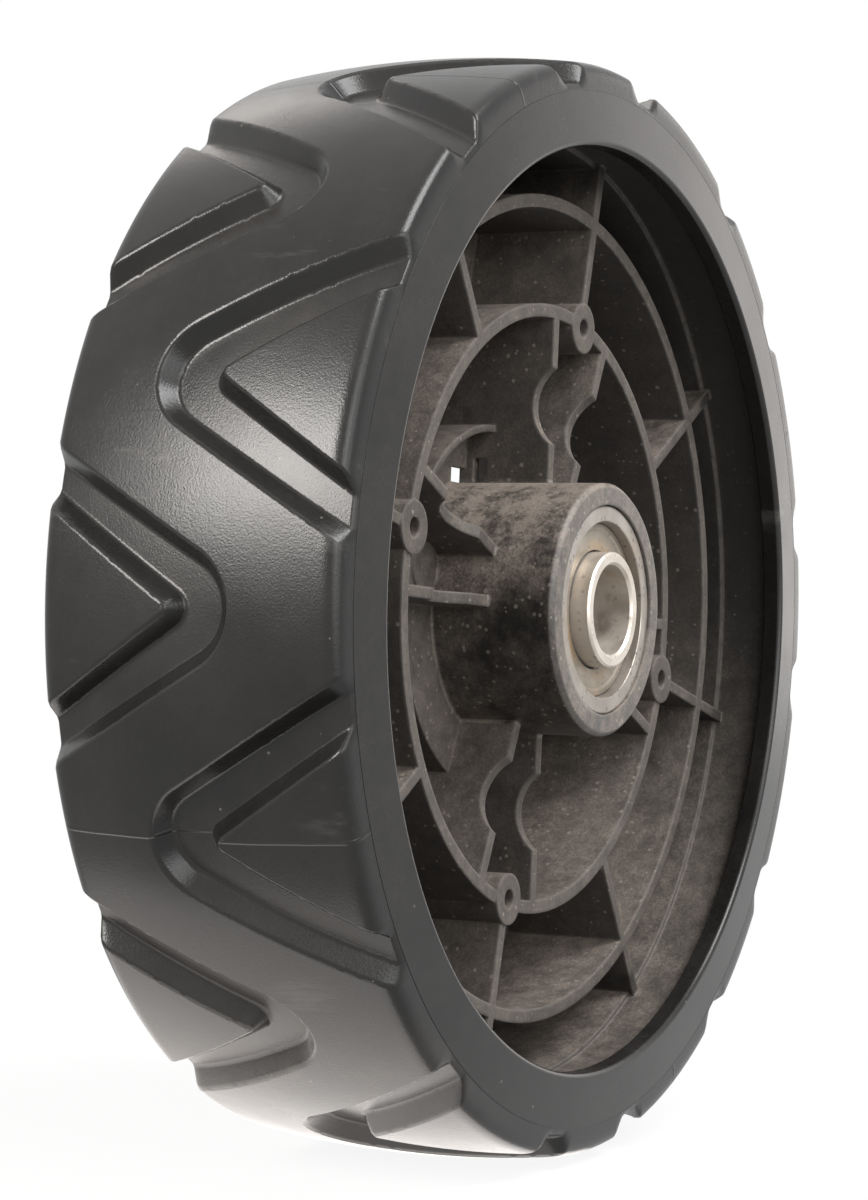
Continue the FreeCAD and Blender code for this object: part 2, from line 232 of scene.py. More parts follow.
def unit(rows: np.ndarray) -> np.ndarray:
    """Each row divided by its length."""
    return rows / np.linalg.norm(rows, axis=1, keepdims=True)


def around(along: np.ndarray, radius: np.ndarray, angle: np.ndarray) -> np.ndarray:
    """Points or directions from their part along Y, their part away from the axis and their angle."""
    return np.stack([radius * np.cos(angle), along, radius * np.sin(angle)], -1).reshape(-1, 3)


# Shader nodes


class Graph:
    """A short way to add and join the nodes of one shader tree."""

    def __init__(self, tree: bpy.types.NodeTree) -> None:
        """Takes the tree that the nodes go into."""
        self.tree = tree

    def add(self, kind: str, inputs: dict[str | int, object] | None = None,
            **settings: object) -> bpy.types.Node:
        """Adds a node.

        Args:
            kind: The node's type without its ShaderNode prefix.
            inputs: Sockets to join, or plain values to set, by input name or number.
            **settings: Properties of the node.

        Returns:
            The new node.
        """
        node = self.tree.nodes.new("ShaderNode" + kind)
        for name, value in settings.items():
            setattr(node, name, value)
        for key, value in (inputs or {}).items():
            if isinstance(value, Socket):
                self.tree.links.new(value, node.inputs[key])
            else:
                node.inputs[key].default_value = value
        return node

    def math(self, operation: str, first: object, second: object = 0.0, clamp: bool = False) -> Socket:
        """The result of one operation on two values, kept from 0 to 1 where it is clamped."""
        node = self.add("Math", {0: first, 1: second}, operation=operation, use_clamp=clamp)
        return node.outputs[0]

    def times(self, first: object, second: object) -> Socket:
        """The product of two values."""
        return self.math("MULTIPLY", first, second)

    def plus(self, first: object, second: object) -> Socket:
        """The sum of two values."""
        return self.math("ADD", first, second)

    def spread(self, value: object, low: float, high: float) -> Socket:
        """A smooth step: 0 at the low value and 1 at the high one."""
        node = self.add("MapRange", {"Value": value, "From Min": low, "From Max": high},
                        interpolation_type="SMOOTHSTEP")
        return node.outputs["Result"]

    def blend(self, share: object, first: object, second: object) -> Socket:
        """A colour between two, by a share from 0 to 1."""
        mixed = self.add("Mix", {0: share, 6: as_colour(first), 7: as_colour(second)}, data_type="RGBA")
        return mixed.outputs[2]

    def between(self, share: object, first: object, second: object) -> Socket:
        """A value between two, by a share from 0 to 1."""
        return self.add("Mix", {0: share, 2: first, 3: second}, data_type="FLOAT").outputs[0]

    def place(self) -> Socket:
        """The object coordinates of the surface."""
        return self.add("TexCoord").outputs["Object"]

    def axes(self) -> list[Socket]:
        """The X, Y and Z of the surface in object coordinates."""
        return list(self.add("SeparateXYZ", {0: self.place()}).outputs)

    def from_axis(self) -> Socket:
        """Distance of the surface from the wheel axis, in metres."""
        x, _, z = self.axes()
        flat = self.add("CombineXYZ", {0: x, 2: z}).outputs[0]
        return self.add("VectorMath", {0: flat}, operation="LENGTH").outputs["Value"]

    def within(self, limit: float, fade: float) -> Socket:
        """1 nearer to the wheel axis than a limit in millimetres, fading out over a width beyond it."""
        return self.spread(self.from_axis(), (limit + fade) * MM, limit * MM)

    def noise(self, scale: object, detail: float = 3.0, rough: float = 0.5,
              place: Socket | None = None) -> Socket:
        """Soft noise from 0 to 1 on object coordinates, with about one cell per 1 / scale metres."""
        where = place or self.place()
        node = self.add("TexNoise", {"Vector": where, "Scale": scale, "Detail": detail, "Roughness": rough})
        return node.outputs["Fac"]

    def effect(self, effect: Effect, **inputs: object) -> Socket:
        """Places a shared effect and gives its first output.

        Args:
            effect: Which node group to place.
            **inputs: Values or sockets by input name in small letters.

        Returns:
            The group's output socket.
        """
        named = {name.title(): value for name, value in inputs.items()}
        return self.add("Group", named, node_tree=EFFECTS[effect]).outputs[0]


def as_colour(value: object) -> object:
    """A plain colour with its alpha, or the socket as it is."""
    return (*value, 1.0) if isinstance(value, tuple) and len(value) == 3 else value


EFFECTS: dict[Effect, bpy.types.NodeTree] = {}


class EffectMaker:
    """Builds the shared node groups, each with named inputs and one output."""

    def start(self, effect: Effect, output: str,
              inputs: dict[str, float]) -> tuple[Graph, dict[str, Socket], Socket]:
        """Opens a new group.

        Args:
            effect: The group to make.
            output: Name of its output.
            inputs: Name and usual value of each input.

        Returns:
            The graph, its inputs by name and the socket that takes the result.
        """
        tree = bpy.data.node_groups.new(effect.value, "ShaderNodeTree")
        EFFECTS[effect] = tree
        tree.interface.new_socket(output, in_out="OUTPUT", socket_type="NodeSocketFloat")
        for name, usual in inputs.items():
            socket = tree.interface.new_socket(name, in_out="INPUT", socket_type="NodeSocketFloat")
            socket.default_value = usual
        entry = tree.nodes.new("NodeGroupInput")
        result = tree.nodes.new("NodeGroupOutput")
        return Graph(tree), {name: entry.outputs[name] for name in inputs}, result.inputs[output]

    def grain(self) -> None:
        """Fine pebbled mould texture: two sizes of noise added up."""
        graph, given, result = self.start(Effect.GRAIN, "Height", {"Scale": 2200.0, "Coarse": 0.4})
        fine = graph.noise(given["Scale"], 2.0, 0.55)
        wide = graph.noise(graph.times(given["Scale"], 0.22), 1.0, 0.5)
        height = graph.plus(fine, graph.times(wide, given["Coarse"]))
        graph.tree.links.new(height, result)

    def dust(self) -> None:
        """Dust on faces that look up or along the axle and in corners, broken up by noise."""
        usual = {"Scale": 60.0, "Upward": 0.5, "Faces": 0.0, "Corners": 0.5, "Reach": 0.006, "Amount": 0.5}
        graph, given, result = self.start(Effect.DUST, "Mask", usual)
        facing = graph.add("SeparateXYZ", {0: graph.add("TexCoord").outputs["Normal"]})
        upward = graph.times(graph.spread(facing.outputs["Z"], -0.2, 0.9), given["Upward"])
        square = graph.spread(graph.math("ABSOLUTE", facing.outputs["Y"]), 0.5, 1.0)
        open_sky = graph.add("AmbientOcclusion", {"Distance": given["Reach"]}, samples=6).outputs["AO"]
        corner = graph.times(graph.math("SUBTRACT", 1.0, open_sky), given["Corners"])
        patches = graph.between(graph.spread(graph.noise(given["Scale"], 10.0, 0.8), 0.3, 0.72), 0.25, 1.0)
        fine = graph.noise(graph.times(given["Scale"], 9.0), 3.0, 0.7)
        grit = graph.between(graph.spread(fine, 0.36, 0.64), 0.55, 1.0)
        lying = graph.plus(graph.plus(upward, corner), given["Amount"])
        lying = graph.plus(lying, graph.times(square, given["Faces"]))
        mask = graph.math("MULTIPLY", lying, graph.times(patches, grit), clamp=True)
        graph.tree.links.new(mask, result)

    def edge_wear_and_highlight(self) -> None:
        """Pale edges, partly worn and partly painted edge highlight: how far a rounded normal leans from the
        plain one, broken up by noise.
        """
        usual = {"Radius": 0.0005, "Scale": 300.0, "Amount": 1.0}
        graph, given, result = self.start(Effect.EDGE_WEAR_AND_HIGHLIGHT, "Mask", usual)
        rounded = graph.add("Bevel", {"Radius": given["Radius"]}, samples=6).outputs["Normal"]
        plain = graph.add("NewGeometry").outputs["Normal"]
        lean = graph.add("VectorMath", {0: rounded, 1: plain}, operation="DOT_PRODUCT").outputs["Value"]
        edge = graph.spread(graph.math("SUBTRACT", 1.0, lean), 0.01, 0.16)
        broken = graph.spread(graph.noise(given["Scale"], 4.0, 0.6), 0.2, 0.7)
        worn = graph.times(graph.times(edge, broken), given["Amount"])
        graph.tree.links.new(worn, result)

    def specks(self) -> None:
        """Small round crumbs: cell centres nearer than a size that differs from cell to cell."""
        graph, given, result = self.start(Effect.SPECKS, "Mask", {"Scale": 400.0, "Size": 0.25, "Share": 0.3})
        cells = graph.add("TexVoronoi", {"Vector": graph.place(), "Scale": given["Scale"], "Randomness": 1.0})
        chance = graph.add("SeparateColor", {0: cells.outputs["Color"]})
        kept = graph.math("LESS_THAN", chance.outputs[0], given["Share"])
        size = graph.times(given["Size"], graph.plus(chance.outputs[1], 0.25))
        inside = graph.spread(graph.math("DIVIDE", cells.outputs["Distance"], size), 1.0, 0.6)
        graph.tree.links.new(graph.times(inside, kept), result)

    def scuffs(self) -> None:
        """Short rubbed streaks: noise stretched along Y, kept where a wide patch of noise is high."""
        usual = {"Scale": 160.0, "Stretch": 0.2, "Share": 0.5}
        graph, given, result = self.start(Effect.SCUFFS, "Mask", usual)
        x, y, z = graph.axes()
        drawn = graph.add("CombineXYZ", {0: x, 1: graph.times(y, given["Stretch"]), 2: z}).outputs[0]
        streak = graph.spread(graph.noise(given["Scale"], 5.0, 0.7, drawn), 0.56, 0.72)
        patch = graph.spread(graph.noise(22.0, 2.0, 0.5), 0.5, 0.68)
        rubbed = graph.times(graph.times(streak, patch), given["Share"])
        graph.tree.links.new(rubbed, result)

    def build(self) -> None:
        """Makes every group."""
        for make in (self.grain, self.dust, self.edge_wear_and_highlight, self.specks, self.scuffs):
            make()


def open_material(name: str) -> tuple[bpy.types.Material, Graph, bpy.types.Node]:
    """Starts a material.

    Args:
        name: Name of the material.

    Returns:
        The material, its graph and its Principled shader.
    """
    material = bpy.data.materials.new(name)
    material.use_nodes = True
    tree = material.node_tree
    return material, Graph(tree), tree.nodes["Principled BSDF"]


def join(graph: Graph, shader: bpy.types.Node, bump: dict[str, object], **sockets: Socket) -> None:
    """Joins sockets to the inputs of a shader by name, with _ for a space, and a bump to its normal."""
    sockets["Normal"] = graph.add("Bump", bump).outputs["Normal"]
    for name, socket in sockets.items():
        graph.tree.links.new(socket, shader.inputs[name.replace("_", " ")])


# Finishes


@dataclass(frozen=True)
class RubberFinish:
    """Satin black moulded rubber with pebble grain, mould seams, dust in its grooves, light scuffs and a pale
    soil film that is partly painted light from the floor.
    """

    name: str
    grooved: bool
    colour: Colour = (0.0060, 0.0058, 0.0058)
    bloom: Colour = (0.0104, 0.0100, 0.0096)
    dust: Colour = (0.17, 0.152, 0.135)
    scuff: Colour = (0.13, 0.125, 0.118)
    gloss: float = 0.29
    smooth: float = 0.2
    dull: float = 0.3
    pebble: float = 0.22
    seam_count: int = 4
    seam_angle: float = 22.5
    seam_width: float = 0.35
    seam_height: float = 0.6
    seam_radius: float = 90.0
    dusty: float = 0.03
    settled: float = 0.06
    # Painted light in part: the soil film round 236 degrees also stands in for light thrown up from the
    # floor.
    soil_and_floor_light: float = 0.2
    soil_and_floor_light_angles: tuple[float, ...] = (236.0, 330.0)
    soil_and_floor_light_reach: float = 17.0

    def away_from(self, graph: Graph, angle: float, count: int) -> Socket:
        """How far round the wheel a point lies from the nearest of some evenly spaced angles.

        Args:
            graph: Graph of the material.
            angle: One of the angles, in degrees.
            count: Number of angles in a turn.

        Returns:
            The way round the wheel in radians.
        """
        x, _, z = graph.axes()
        here = graph.math("ARCTAN2", z, x)
        pitch = 2 * math.pi / count
        shifted = graph.math("SUBTRACT", here, math.radians(angle) - pitch / 2)
        wave = graph.math("FLOORED_MODULO", shifted, pitch)
        return graph.math("ABSOLUTE", graph.math("SUBTRACT", wave, pitch / 2))

    def seam(self, graph: Graph) -> Socket:
        """The mould seams: wandering lines across the tread, a quarter turn apart, as a mask."""
        reach = graph.times(self.away_from(graph, self.seam_angle, self.seam_count), self.seam_radius)
        wander = graph.times(graph.math("SUBTRACT", graph.noise(90.0), 0.5), 0.5)
        return graph.spread(graph.plus(reach, wander), self.seam_width, self.seam_width / 4)

    def film(self, graph: Graph) -> Socket:
        """The thin film of dry soil left on some stretches of the tread, partly painted light: round 236
        degrees the paler film stands in for light thrown up from the floor.

        Args:
            graph: Graph of the material.

        Returns:
            A mask that fades out round the wheel and is broken up by noise.
        """
        mask = None
        for angle in self.soil_and_floor_light_angles:
            near = graph.spread(self.away_from(graph, angle, 1), math.radians(self.soil_and_floor_light_reach), 0.0)
            mask = graph.math("MAXIMUM", mask, near) if mask else near
        return graph.times(mask, graph.spread(graph.noise(55.0, 9.0, 0.72), 0.3, 0.66))

    def build(self) -> bpy.types.Material:
        """Makes the material, with seams, soil film that is partly painted light from the floor, and groove
        dust on the grooved tread only.
        """
        material, graph, shader = open_material(self.name)
        shader.inputs["Specular IOR Level"].default_value = self.gloss
        patches = graph.spread(graph.noise(26.0, 4.0, 0.6), 0.3, 0.75)
        scuffs = graph.effect(Effect.SCUFFS, scale=180.0, stretch=0.15, share=0.7)
        dust = graph.effect(Effect.DUST, scale=150.0, upward=0.03, corners=0.2, reach=0.003,
                            amount=self.dusty)
        specks = graph.effect(Effect.SPECKS, scale=420.0, size=0.1, share=0.08)
        grain = graph.effect(Effect.GRAIN, scale=2900.0, coarse=0.15)
        height = graph.times(grain, self.pebble)
        colour = graph.blend(patches, self.colour, self.bloom)
        if self.grooved:
            depth = graph.add("Attribute", attribute_name="groove").outputs["Fac"]
            settled = graph.times(graph.times(graph.spread(depth, 0.9, 1.0), self.settled), patches)
            # The soil film lightens the tread: partly dry soil, partly painted light from the floor.
            dust = graph.plus(dust, graph.plus(settled, graph.times(self.film(graph), self.soil_and_floor_light)))
            height = graph.plus(height, graph.times(self.seam(graph), self.seam_height))
        colour = graph.blend(graph.times(dust, 0.7), colour, self.dust)
        colour = graph.blend(graph.times(scuffs, 0.5), colour, self.scuff)
        colour = graph.blend(graph.times(specks, 0.55), colour, self.dust)
        sheen = graph.between(patches, self.smooth, self.dull)
        rough = graph.plus(sheen, graph.times(dust, 0.3))
        bump = {"Height": height, "Strength": 0.42, "Distance": 0.0004}
        join(graph, shader, bump, Base_Color=colour, Roughness=rough)
        return material


@dataclass(frozen=True)
class PlasticFinish:
    """Matt dark moulded plastic, brown with dust in its cells, pale along its edges from being worn and from
    painted edge highlight, with a barrel in a darker black of painted shade.
    """

    name: str
    colour: Colour = (0.012, 0.0108, 0.0100)
    faded: Colour = (0.028, 0.0247, 0.0215)
    dust: Colour = (0.205, 0.172, 0.145)
    # Pale colour of the hub scuffs and of the edges, where it is partly painted edge highlight.
    worn: Colour = (0.145, 0.127, 0.111)
    crumb: Colour = (0.42, 0.37, 0.31)
    hub: Colour = (0.010, 0.0098, 0.0095)
    # Painted shade: the barrel, deep inside the tyre, gets a darker black than the ribs.
    barrel: Colour = (0.006, 0.0055, 0.005)
    hub_radius: float = 21.6
    hub_fade: float = 0.4
    # The rib dust ends and the barrel's painted shade begins at this radius.
    dust_and_shade_radius: float = 73.0
    dust_and_shade_fade: float = 3.0
    handled: float = 0.2
    on_faces: float = 0.26
    edge_radius: float = 0.8

    def build(self) -> bpy.types.Material:
        """Makes the material: black scuffed hub, dusty ribs and a barrel with less dust and a darker black
        that is painted shade.
        """
        material, graph, shader = open_material(self.name)
        hub = graph.within(self.hub_radius, self.hub_fade)
        dusty = graph.within(self.dust_and_shade_radius, self.dust_and_shade_fade)
        film, faces = (graph.times(dusty, share) for share in (self.handled, self.on_faces))
        patches = graph.spread(graph.noise(45.0, 5.0, 0.62), 0.3, 0.72)
        dust = graph.effect(Effect.DUST, scale=240.0, upward=0.85, faces=faces, corners=0.35,
                            reach=0.012, amount=film)
        wiped = graph.times(graph.spread(graph.noise(130.0, 9.0, 0.72), 0.44, 0.66), hub)
        dust = graph.times(dust, graph.between(wiped, graph.between(hub, 1.0, 2.1), 0.4))
        # Painted edge highlight mixed with real edge wear: pale on raised and hollow edges alike.
        edge_wear_and_highlight_mask = graph.effect(Effect.EDGE_WEAR_AND_HIGHLIGHT, radius=self.edge_radius * MM, scale=420.0, amount=0.7)
        specks = graph.effect(Effect.SPECKS, scale=900.0, size=0.34, share=0.25)
        crumbs = graph.effect(Effect.SPECKS, scale=430.0, size=0.11, share=0.06)
        scuffs = graph.effect(Effect.SCUFFS, scale=300.0, stretch=0.35, share=0.9)
        colour = graph.blend(patches, self.colour, self.faded)
        # Painted shade: beyond the dust radius the barrel takes its darker black.
        colour = graph.blend(dusty, self.barrel, colour)
        colour = graph.blend(hub, colour, self.hub)
        colour = graph.blend(dust, colour, self.dust)
        colour = graph.blend(graph.times(scuffs, hub), colour, self.worn)
        colour = graph.blend(edge_wear_and_highlight_mask, colour, self.worn)
        sandy = graph.times(specks, graph.between(dusty, 0.04, 0.3))
        colour = graph.blend(sandy, colour, self.crumb)
        colour = graph.blend(graph.times(crumbs, 0.2), colour, self.crumb)
        shine = graph.between(hub, 0.62, 0.34)
        rough = graph.plus(shine, graph.times(dust, 0.25))
        edge = graph.add("Bevel", {"Radius": self.edge_radius * MM}, samples=6).outputs["Normal"]
        grain = graph.effect(Effect.GRAIN, scale=1300.0, coarse=0.8)
        height = graph.plus(graph.times(grain, 0.3), crumbs)
        bump = {"Height": height, "Strength": 0.5, "Distance": 0.0003, "Normal": edge}
        join(graph, shader, bump, Base_Color=colour, Roughness=rough)
        return material


@dataclass(frozen=True)
class SteelFinish:
    """Bearing steel: bright metal with grey haze, fine turning lines, brown stains and dark grime."""

    name: str
    colour: Colour = (0.36, 0.33, 0.295)
    haze: Colour = (0.24, 0.215, 0.19)
    stain: Colour = (0.30, 0.20, 0.10)
    grime: Colour = (0.06, 0.05, 0.042)
    stained: float = 0.3
    stain_radius: float = 0.0
    stain_fade: float = 1.8
    grimy: float = 1.0
    smooth: float = 0.28
    dull: float = 0.5

    def build(self) -> bpy.types.Material:
        """Makes the material."""
        material, graph, shader = open_material(self.name)
        near = graph.within(self.stain_radius, self.stain_fade)
        haze = graph.spread(graph.noise(140.0, 5.0, 0.6), 0.3, 0.7)
        patch = graph.spread(graph.plus(graph.noise(75.0, 4.0, 0.65), graph.times(near, 0.16)), 0.5, 0.72)
        stain = graph.times(patch, self.stained)
        specks = graph.effect(Effect.SPECKS, scale=850.0, size=0.36, share=0.5)
        dust = graph.effect(Effect.DUST, scale=260.0, upward=0.0, corners=1.6, reach=0.0018, amount=0.14)
        grime = graph.times(graph.plus(dust, graph.times(specks, 0.6)), self.grimy)
        colour = graph.blend(haze, self.colour, self.haze)
        colour = graph.blend(stain, colour, self.stain)
        colour = graph.blend(grime, colour, self.grime)
        worn = graph.plus(graph.times(grime, 0.7), graph.times(haze, 0.6))
        metal = graph.math("SUBTRACT", 1.0, graph.plus(worn, stain), clamp=True)
        rough = graph.between(haze, self.smooth, self.dull)
        lines = graph.add("CombineXYZ", {0: graph.from_axis(), 1: graph.axes()[1]}).outputs[0]
        turned = graph.noise(5200.0, 2.0, 0.6, lines)
        height = graph.plus(graph.times(turned, 0.5), graph.times(specks, 0.6))
        bump = {"Height": height, "Strength": 0.25, "Distance": 0.00015}
        join(graph, shader, bump, Base_Color=colour, Roughness=rough, Metallic=metal)
        return material


# Tyre


@dataclass(frozen=True)
class Vee:
    """One V of the tread: a rounded groove open at a shoulder, with a raised triangular block inside it."""

    flare: float
    nose: float
    reach: float
    block_flare: float
    block_tip: float
    block_reach: float
    phase: float


def cone_distance(inward: np.ndarray, sideways: np.ndarray, flare: float) -> np.ndarray:
    """Signed distance to a wedge that opens from its apex by a half angle.

    With a the way from the apex into the opening and b the way sideways, it is the distance to the
    apex where the apex is nearest, and b cos(flare) - a sin(flare) elsewhere: negative inside.

    Args:
        inward: Way from the apex towards the open end.
        sideways: Way from the middle line, never negative.
        flare: Half angle of the wedge in degrees.

    Returns:
        The distance at every point.
    """
    cosine, sine = math.cos(math.radians(flare)), math.sin(math.radians(flare))
    beyond = inward * cosine + sideways * sine < 0
    return np.where(beyond, np.hypot(inward, sideways), sideways * cosine - inward * sine)


def soft_ramp(value: np.ndarray, half: float) -> np.ndarray:
    """0 below, the value itself above, and a parabola within half either side of 0."""
    middle = np.clip(value + half, 0, 2 * half)
    return middle ** 2 / (4 * half) + np.maximum(value - half, 0)


@dataclass
class Tyre:
    """The tyre: a tread with interlocking V grooves on a carcass whose lips hook over the rim barrel."""

    tread_finish: RubberFinish
    side_finish: RubberFinish
    radius: float = 90.3
    crown: float = 1.95
    width: float = 51.7
    depth: float = 3.4
    crease_drop: float = 4.3
    shoulder_insets: tuple[float, ...] = (0.0, 0.1, 0.2, 0.35, 0.55, 0.8, 1.1, 1.5, 2.0, 2.6)
    shoulder_drops: tuple[float, ...] = (4.3, 3.1, 2.2, 1.5, 0.95, 0.6, 0.36, 0.18, 0.06, 0.0)
    pitch: float = 45.0
    wall_run: float = 2.3
    top_round: float = 0.42
    floor_round: float = 0.4
    columns: int = 1056
    rows: int = 68
    carcass_columns: int = 528
    snap_share: float = 0.48
    inboard: Vee = Vee(flare=30.7, nose=9.8, reach=34.4, block_flare=33.0, block_tip=0.95, block_reach=22.9,
                       phase=23.0)
    outboard: Vee = Vee(flare=30.0, nose=9.8, reach=33.8, block_flare=33.0, block_tip=0.95, block_reach=23.1,
                        phase=0.5)
    crease_run: float = 0.6
    under_inset: float = 0.3
    floor_radius: float = 85.4
    channel_radius: float = 82.06
    lip_radius: float = 76.7
    lip_depth: float = 2.6
    bulge: float = 1.1

    @property
    def half(self) -> float:
        """Half of the tread width."""
        return self.width / 2

    def vee_levels(self, vee: Vee, inset: np.ndarray, angle: np.ndarray) -> tuple[np.ndarray, np.ndarray]:
        """Distances into one set of V grooves.

        Args:
            vee: The groove and its block.
            inset: Distance from the shoulder where the grooves open.
            angle: Angle round the wheel in degrees.

        Returns:
            The distance in from the groove's outline and the distance out from its block.
        """
        turned = np.mod(angle - vee.phase + self.pitch / 2, self.pitch) - self.pitch / 2
        sideways = np.abs(np.radians(turned)) * self.radius
        groove = vee.nose - cone_distance(vee.reach - vee.nose - inset, sideways, vee.flare)
        tip = vee.block_reach - vee.block_tip
        block = cone_distance(tip - inset, sideways, vee.block_flare) - vee.block_tip
        return groove, block

    def wall(self, level: np.ndarray) -> np.ndarray:
        """Share of the groove depth at a distance from its upper edge: a slope with rounded ends."""
        slope = soft_ramp(level, self.top_round) - soft_ramp(level - self.wall_run, self.floor_round)
        return slope / self.wall_run

    def level(self, along: np.ndarray, angle: np.ndarray) -> np.ndarray:
        """Distance into the nearest groove, negative on the raised tread.

        Each groove gives the lesser of its two distances, and the deeper of the two sets counts.

        Args:
            along: Y of every point.
            angle: Angle of every point in degrees.

        Returns:
            The distance at every point.
        """
        first = np.minimum(*self.vee_levels(self.inboard, along + self.half, angle))
        second = np.minimum(*self.vee_levels(self.outboard, self.half - along, angle))
        return np.maximum(first, second)

    def crowned(self, along: np.ndarray) -> np.ndarray:
        """Radius of the tread without its grooves and shoulders: a parabola, highest at its middle."""
        return self.radius + self.crown * (1 - (along / self.half) ** 2)

    def lug_radius(self, along: np.ndarray) -> np.ndarray:
        """Radius of the raised tread: crowned, then a rounded shoulder, then steep down to the crease."""
        inset = self.half - np.abs(along)
        return self.crowned(along) - np.interp(inset, self.shoulder_insets, self.shoulder_drops)

    def groove_radius(self, along: np.ndarray) -> np.ndarray:
        """Radius of the groove floor, rounded down to the crease at each shoulder."""
        inset = self.half - np.abs(along)
        edge = np.clip(1 - inset / self.crease_run, 0, 1)
        return self.crowned(along) - self.depth - (self.crease_drop - self.depth) * edge ** 2

    def tread_radius(self, along: np.ndarray, angle: np.ndarray) -> np.ndarray:
        """Radius of the tread: between the raised surface and the groove floor by the wall's share."""
        share = self.wall(self.level(along, angle))
        return (1 - share) * self.lug_radius(along) + share * self.groove_radius(along)

    def slopes(self, field: Field, along: np.ndarray, angle: np.ndarray,
               small: float) -> tuple[np.ndarray, np.ndarray]:
        """Slopes of a field over the tread, by differences to either side.

        Args:
            field: Function of Y and angle.
            along: Y of every point.
            angle: Angle of every point in degrees.
            small: Way to either side.

        Returns:
            The slope along Y and the slope round the wheel, per millimetre.
        """
        turn = math.degrees(small / self.radius)
        slope_y = (field(along + small, angle) - field(along - small, angle)) / (2 * small)
        slope_s = (field(along, angle + turn) - field(along, angle - turn)) / (2 * small)
        return slope_y, slope_s

    def snap(self, along: np.ndarray, angle: np.ndarray) -> tuple[np.ndarray, np.ndarray]:
        """Moves grid points that lie near an edge of a groove wall onto that edge.

        The nearest of four levels, the two ends of each rounding, is reached by a step along the
        gradient of the distance, no longer than nearly half of what the level changes by over a grid
        cell, and only round the wheel near a shoulder.

        Args:
            along: Y of every grid point.
            angle: Angle of every grid point in degrees.

        Returns:
            The moved Y and angle.
        """
        per_degree = math.radians(1) * self.radius
        level = self.level(along, angle)
        slope_y, slope_s = self.slopes(self.level, along, angle, 0.01)
        edges = np.array([-self.top_round, self.top_round, self.wall_run - self.floor_round,
                          self.wall_run + self.floor_round])
        gaps = edges[:, None, None] - level
        nearest = np.take_along_axis(gaps, np.abs(gaps).argmin(0)[None], 0)[0]
        column_gap = 2 * math.pi * self.radius / self.columns
        row_gap = (self.width - 2 * self.shoulder_insets[-1]) / self.rows
        change = np.abs(slope_s) * column_gap + np.abs(slope_y) * row_gap
        step = np.where(np.abs(nearest) < self.snap_share * change, nearest, 0)
        free = np.clip(self.half - np.abs(along) - self.shoulder_insets[-1], 0, 1)
        return along + step * slope_y * free, angle + step * slope_s / per_degree

    def tread_rows(self) -> np.ndarray:
        """Y of the grid rows: close together on the shoulders and even between them."""
        shoulder = np.array(self.shoulder_insets)
        middle = np.linspace(shoulder[-1], self.width - shoulder[-1], self.rows + 1)[1:-1]
        inset = np.concatenate([shoulder, middle, self.width - shoulder[::-1]])
        return inset - self.half

    def build_tread(self) -> bpy.types.Object:
        """The tread as a height over angle and Y, closed underneath.

        Returns:
            The tread, with the groove depth of each point stored on it.
        """
        turn = np.linspace(0, 360, self.columns, endpoint=False)
        along, angle = np.meshgrid(self.tread_rows(), turn, indexing="ij")
        along, angle = self.snap(along, angle)
        radius = self.tread_radius(along, angle)
        rise_y, rise_s = self.slopes(self.tread_radius, along, angle, 0.02)
        rise_y[0], rise_y[-1] = rise_y[1], rise_y[-2]
        bearing = np.radians(angle)
        round_way = np.stack([-np.sin(bearing), 0 * bearing, np.cos(bearing)], -1)
        normals = around(-rise_y, np.ones_like(radius), bearing)
        normals = unit(normals - (rise_s[..., None] * round_way).reshape(-1, 3))
        points = around(along, radius, bearing)
        level = self.level(along, angle)

        inner = np.array([[1.0], [-1.0]]) * (self.half - self.under_inset) + 0 * turn
        under = around(inner, self.floor_radius + 0 * inner, np.radians(turn))
        below = around(0 * inner, 0 * inner - 1, np.radians(turn))
        rows = len(along) + 3
        count = len(points) + len(under)
        levels = np.vstack([level, level[:3] * 0])
        triangles = ring_triangles(rows, self.columns, levels) % count
        tread = add_mesh("tyre_tread", np.vstack([points, under]), triangles, np.vstack([normals, below]))
        shares = self.wall(level).ravel()
        add_point_value(tread, "groove", np.concatenate([shares, np.zeros(len(under))]))
        return tread

    def build_carcass(self) -> bpy.types.Object:
        """The carcass under the tread: both sidewalls, their lips and the channel for the rim barrel.

        Returns:
            A ring of one rounded section.
        """
        edge, lip = self.half, self.lip_radius
        crease = self.radius - self.crease_drop
        flank = [
            (edge - 0.35, self.floor_radius - 0.1, 0.1),
            (edge, crease - 0.02, 0.06),
            (edge + self.bulge * 0.5, crease - 4.6, 8.0),
            (edge + self.bulge, lip, 0.9),
            (edge - self.lip_depth, lip + 0.05, 0.35),
            (edge - self.lip_depth, self.channel_radius, 0.2),
        ]
        mirrored = [(-along, radius, bend) for along, radius, bend in reversed(flank)]
        return Outline.rounded(flank + mirrored, 6).revolve("tyre_carcass", self.carcass_columns)

    def build(self) -> list[bpy.types.Object]:
        """Builds and dresses the tyre.

        Returns:
            Its pieces.
        """
        tread, carcass = self.build_tread(), self.build_carcass()
        tread.data.materials.append(self.tread_finish.build())
        carcass.data.materials.append(self.side_finish.build())
        for piece in (tread, carcass):
            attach(piece, Body.WHEEL.value)
            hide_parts("tyre")
        return [tread, carcass]


# Rim


@dataclass
class Rim:
    """The ribbed rim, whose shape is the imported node."""

    finish: PlasticFinish

    def build(self) -> list[bpy.types.Object]:
        """Dresses the rim."""
        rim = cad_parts["rim"]
        dress(rim, self.finish.build())
        return [rim]


def dress(node: bpy.types.Object, material: bpy.types.Material) -> None:
    """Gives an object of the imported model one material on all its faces."""
    node.data.materials.clear()
    node.data.materials.append(material)


# Bearings


